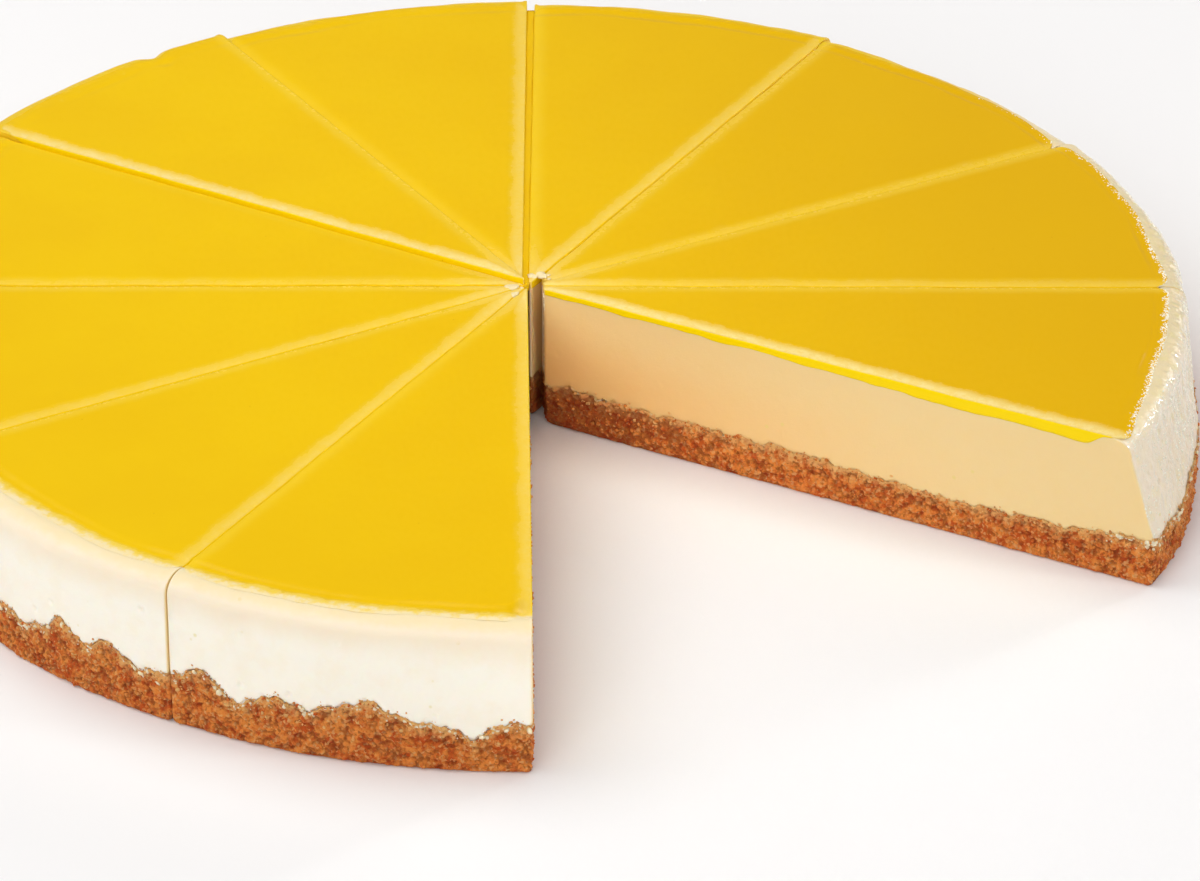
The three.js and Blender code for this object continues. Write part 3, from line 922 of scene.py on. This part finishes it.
dryCrumb = {"material": crumbMaterial, "slot": "crumb_base"}
plainCream = {"aboveCrumb": 1.2, "rounding": -3, "onCut": 0.6, "wet": 0, "deepIn": 0, "farSide": 0}
grains = {
    "looseCrumbs": {
        **dryCrumb, "on": "crumb", "count": 9800, "sizes": (0.22, 0.62), "flatness": 0.75,
        "sunk": 0.3, "seed": 5, "values": {"relief": 0.2, "under": 3}, "node": "slice_06_base",
    },
    "crumbsOnCream": {
        **dryCrumb, "on": "creamFoot", "count": 2200, "sizes": (0.14, 0.6), "flatness": 0.7,
        "sunk": 0.25, "seed": 6, "values": {"relief": 0.2, "under": 0.5}, "node": "slice_05_base",
    },
    "paleCrumbs": {
        **dryCrumb, "on": "upperCrumb", "count": 700, "sizes": (0.3, 0.7), "flatness": 0.6,
        "sunk": 0.3, "seed": 7, "values": {"relief": 0.2, "under": -4}, "node": "slice_04_base",
    },
    "creamBits": {  # caught in the crumb's upper edge
        "on": "crumbTop", "count": 1300, "sizes": (0.2, 0.85), "flatness": 0.5, "sunk": 0.1,
        "seed": 11, "material": creamMaterial, "values": plainCream,
        "node": "slice_06_filling", "slot": "cheese_filling",
    },
    "curdBeads": {  # round the wet part of the rim
        "on": "rim", "count": 1000, "sizes": (0.12, 0.32), "flatness": 0.8, "sunk": 0.2,
        "seed": 10, "material": beadMaterial, "values": {},
        "node": "slice_07_topping", "slot": "lemon_topping",
    },
    "drops": {  # on the wet part of the wall
        "on": "dampCream", "count": 3600, "sizes": (0.14, 0.5), "flatness": 0.7, "sunk": 0.3,
        "seed": 12, "material": beadMaterial, "values": {},
        "node": "slice_08_filling", "slot": "cheese_filling",
    },
    "smearsAtTips": {
        "on": "tips", "count": 60, "sizes": (0.4, 1.2), "flatness": 0.3, "sunk": 0.1,
        "seed": 8, "material": lemonMaterial, "values": {**plainCurd, "thick": -0.2},
        "node": "slice_10_topping", "slot": "lemon_topping",
    },
}


# an icosahedron: its corners, each one unit from the middle, and its faces
golden = (1 + 5**0.5) / 2
grainCorners = np.array([(-1, golden, 0), (1, golden, 0), (-1, -golden, 0), (1, -golden, 0),
                         (0, -1, golden), (0, 1, golden), (0, -1, -golden), (0, 1, -golden),
                         (golden, 0, -1), (golden, 0, 1), (-golden, 0, -1), (-golden, 0, 1)])
grainCorners /= np.hypot(1, golden)
grainFaces = np.array([(0, 11, 5), (0, 5, 1), (0, 1, 7), (0, 7, 10), (0, 10, 11), (1, 5, 9), (5, 11, 4),
                       (11, 10, 2), (10, 7, 6), (7, 1, 8), (3, 9, 4), (3, 4, 2), (3, 2, 6), (3, 6, 8),
                       (3, 8, 9), (4, 9, 5), (2, 4, 11), (6, 2, 10), (8, 6, 7), (9, 8, 1)])


def scatter(name, kind):
    # Scattered grains: icosahedra, each stretched, turned, dented by chance and partly sunk in
    # the skin; their sizes are spread between the two given, most of them near the smaller.
    rng = np.random.default_rng(kind["seed"])
    count, sizes, likely = kind["count"], kind["sizes"], spots[kind["on"]][:, 6]
    chosen = spots[kind["on"]][rng.choice(len(likely), count, p=likely / likely.sum())]
    size = sizes[0] * (sizes[1] / sizes[0]) ** (rng.random((count, 1, 1)) ** 1.7)
    stretch = rng.uniform(0.7, 1.2, (count, 1, 3)) * (1, 1, kind["flatness"])
    dents = rng.uniform(0.8, 1.12, (count, len(grainCorners), 1))
    normal = chosen[:, 3:6]
    sideways = np.cross(normal, rng.normal(size=(count, 3)))
    sideways /= np.maximum(np.linalg.norm(sideways, axis=-1, keepdims=True), 1e-9)
    axes = np.stack([sideways, np.cross(normal, sideways), normal], axis=1)
    points = np.einsum("nci,nij->ncj", grainCorners * stretch * dents * size, axes)
    points += (chosen[:, :3] - normal * size[:, 0] * kind["sunk"])[:, None]
    points = np.clip(points.reshape(-1, 3), np.array(cadBounds[0]) / mm, np.array(cadBounds[1]) / mm)
    faces = (grainFaces + len(grainCorners) * np.arange(count)[:, None, None]).reshape(-1, 3)
    tone = np.repeat(rng.random(count), len(grainCorners))
    values = {key: 0 * tone + value for key, value in kind["values"].items()}
    piece = makeMesh(name, points, faces, {**values, "tone": tone}, kind["material"])
    addPiece(piece, kind["node"])


for name, kind in grains.items():
    scatter(name, kind)
print("loose grains made")


studio = {
    "floorTone": (0.89, 0.875, 0.87, 1),
    "floorPale": (0.97, 0.96, 0.96, 1),
    "floorReach": 8000,
    "floorLevel": -0.05,
    "surround": (0.24, 0.24, 0.24, 1),
    # name: (width, depth, place, aim, watts, and where the beam is narrow its spread in degrees),
    # the lengths in metres
    "lamps": {
        "overhead": (1.5, 1.3, (-0.45, 0.15, 1.25), (0, 0, 0), 12.2),
        "front": (1.4, 0.9, (-0.5, -1.6, 0.95), (0, 0, 0), 13.5),
        "left": (0.9, 0.9, (-1.4, 0.2, 0.9), (0, 0, 0), 3.2),
        "back": (0.6, 0.5, (1.1, 1.0, 0.75), (0.1, 0, 0), 3),
        "right": (0.2, 0.2, (1.15, -0.35, 0.7), (0.14, 0, 0), 2.5),
        "glints": (0.14, 0.28, (1.22, 0.8, 0.42), (0.14, 0, 0.02), 4),
        "gap": (0.1, 0.1, (0.38, -0.8, 0.34), (0.012, -0.012, 0.012), 0.011, 12),
    },
}


def areaLamp(name, width, depth, place, aim, watts, spread=180):
    # A soft lamp at its place, turned towards its aim.
    lamp = bpy.data.lights.new(name, "AREA")
    lamp.shape, lamp.size, lamp.size_y, lamp.energy = "RECTANGLE", width, depth, watts
    lamp.spread = np.radians(spread)
    holder = bpy.data.objects.new(name, lamp)
    bpy.context.collection.objects.link(holder)
    holder.location = place
    holder.rotation_euler = (Vector(aim) - Vector(place)).to_track_quat("-Z", "Y").to_euler()
    holder.visible_camera = False


def makeStudio():
    # A pale floor far past the frame, soft lamps and a dim surround.
    side, level = studio["floorReach"], studio["floorLevel"]
    corners = np.array([[-side, -side, level], [side, -side, level],
                        [side, side, level], [-side, side, level]])
    paper = Finish("palePaper", Roughness=0.85, Specular_IOR_Level=0.2)
    tint = paper.mix(0.04 * paper.noise(300, 2), studio["floorTone"], studio["floorPale"])
    paper.set(Base_Color=tint)
    floor = makeMesh("floor", corners, np.array([[0, 1, 2], [0, 2, 3]]), {}, paper.material)
    for name, settings in studio["lamps"].items():
        areaLamp(name, *settings)
    world = bpy.data.worlds.new("surround")
    world.use_nodes = True
    world.node_tree.nodes["Background"].inputs["Color"].default_value = studio["surround"]
    bpy.context.scene.world = world


camera = {
    "aim": (15.36, -67.05, 33.4),  # on the level of the cake's top
    "distance": 1232,
    "elevation": 29.87,
    "lens": 181.33,
    "film": 36,  # width of the picture behind the lens
    "sees": (0.05, 60),  # metres, from the nearest to the farthest
}


def makeCamera():
    # In front of the cake, at its distance from the aim and its elevation in degrees above it.
    tilt = np.radians(camera["elevation"])
    back = np.array([0, -np.cos(tilt), np.sin(tilt)])
    data = bpy.data.cameras.new("camera")
    data.lens, data.sensor_width, data.sensor_fit = camera["lens"], camera["film"], "HORIZONTAL"
    data.clip_start, data.clip_end = camera["sees"]
    holder = bpy.data.objects.new("camera", data)
    holder.location = (np.array(camera["aim"]) + camera["distance"] * back) * mm
    holder.rotation_euler = (np.pi / 2 - tilt, 0, 0)
    bpy.context.collection.objects.link(holder)
    bpy.context.scene.camera = holder


makeStudio()
makeCamera()
bpy.context.scene.view_settings.view_transform = "Standard"
print("studio made")
